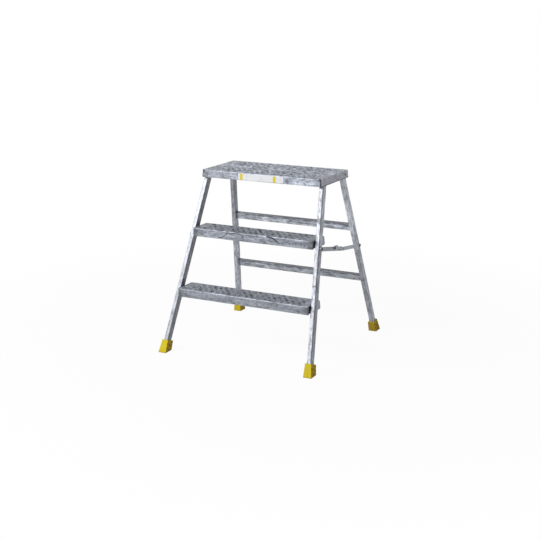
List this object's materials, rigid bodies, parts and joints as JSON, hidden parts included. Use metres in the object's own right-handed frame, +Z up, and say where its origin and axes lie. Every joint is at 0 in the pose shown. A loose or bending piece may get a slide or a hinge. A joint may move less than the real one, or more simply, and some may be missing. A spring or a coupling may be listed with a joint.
{
  "type": "builders trestle",
  "caption": "Folding aluminium builders trestle: perforated platform and steps on splayed stiles, a hinged rear leg frame with locking stays, and yellow plastic feet.",
  "frame": {"origin": "on the floor, midway between the four feet", "axes": "+X to the right as seen from the step side, +Y from the steps to the rear legs, +Z up"},
  "size_m": [0.6984, 0.698, 0.7216],
  "materials": {
    "sheet": "mill",
    "tube": "mill, worn bright",
    "link": "mill",
    "rivet": "satin",
    "pivot_steel": "dark plated",
    "plug_black": "matt",
    "foot_yellow": "satin moulded"
  },
  "bodies": {
    "front_frame": {"platform_plank_front": "sheet", "platform_plank_rear": "sheet", "platform_end_left": "sheet", "platform_end_right": "sheet", "platform_rivets": "rivet", "front_stile_left": "tube", "front_stile_right": "tube", "stile_rivets": "rivet", "step_lower": "sheet", "step_upper": "sheet", "step_bracket_lower_left": "sheet", "step_bracket_lower_right": "sheet", "step_bracket_upper_left": "sheet", "step_bracket_upper_right": "sheet", "step_rivets": "rivet", "tread_rivets": "rivet", "step_plug_lower_left": "plug_black", "step_plug_lower_right": "plug_black", "step_plug_upper_left": "plug_black", "step_plug_upper_right": "plug_black", "foot_front_left": "foot_yellow", "foot_front_right": "foot_yellow", "hinge_bolt_left": "pivot_steel", "hinge_bolt_right": "pivot_steel", "hinge_washer_left": "plug_black", "hinge_washer_right": "plug_black", "hinge_nut_left": "pivot_steel", "hinge_nut_right": "pivot_steel", "stay_front_pivot_left": "pivot_steel", "stay_front_pivot_right": "pivot_steel", "stay_front_spacer_left": "pivot_steel", "stay_front_spacer_right": "pivot_steel"},
    "rear_frame": {"foot_rear_left": "foot_yellow", "foot_rear_right": "foot_yellow", "rear_stile_left": "tube", "rear_stile_right": "tube", "rear_rung_lower": "tube", "rear_rung_upper": "tube", "stay_rear_pivot_left": "pivot_steel", "stay_rear_pivot_right": "pivot_steel", "stay_rear_spacer_left": "pivot_steel", "stay_rear_spacer_right": "pivot_steel"},
    "stay_front_left": {"stay_front_link_left": "link", "elbow_tail_left": "pivot_steel"},
    "stay_front_right": {"stay_front_link_right": "link", "elbow_tail_right": "pivot_steel"},
    "stay_rear_left": {"stay_rear_link_left": "link", "elbow_rivet_left": "pivot_steel"},
    "stay_rear_right": {"stay_rear_link_right": "link", "elbow_rivet_right": "pivot_steel"}
  },
  "joints": [
    {"name": "rear_frame_fold", "type": "hinge", "parent": "front_frame", "child": "rear_frame", "pos_m": [0, 0.125, 0.705], "axis": [-1, 0, 0], "range_deg": [0, 45]},
    {"name": "stay_front_left", "type": "hinge", "parent": "front_frame", "child": "stay_front_left", "pos_m": [-0.29114, -0.15583, 0.458], "axis": [1, 0, 0], "range_deg": [0, 60]},
    {"name": "stay_rear_left", "type": "hinge", "parent": "rear_frame", "child": "stay_rear_left", "pos_m": [-0.29924, 0.2131, 0.396], "axis": [-1, 0, 0], "range_deg": [0, 40]},
    {"name": "stay_front_right", "type": "hinge", "parent": "front_frame", "child": "stay_front_right", "pos_m": [0.29114, -0.15583, 0.458], "axis": [1, 0, 0], "range_deg": [0, 60]},
    {"name": "stay_rear_right", "type": "hinge", "parent": "rear_frame", "child": "stay_rear_right", "pos_m": [0.29924, 0.2131, 0.396], "axis": [-1, 0, 0], "range_deg": [0, 40]}
  ],
  "couplings": [
    {"joint": "stay_front_left", "follows": "rear_frame_fold", "ratio": 1.3228},
    {"joint": "stay_rear_left", "follows": "rear_frame_fold", "ratio": 0.86815},
    {"joint": "stay_front_right", "follows": "rear_frame_fold", "ratio": 1.3228},
    {"joint": "stay_rear_right", "follows": "rear_frame_fold", "ratio": 0.86815}
  ]
}
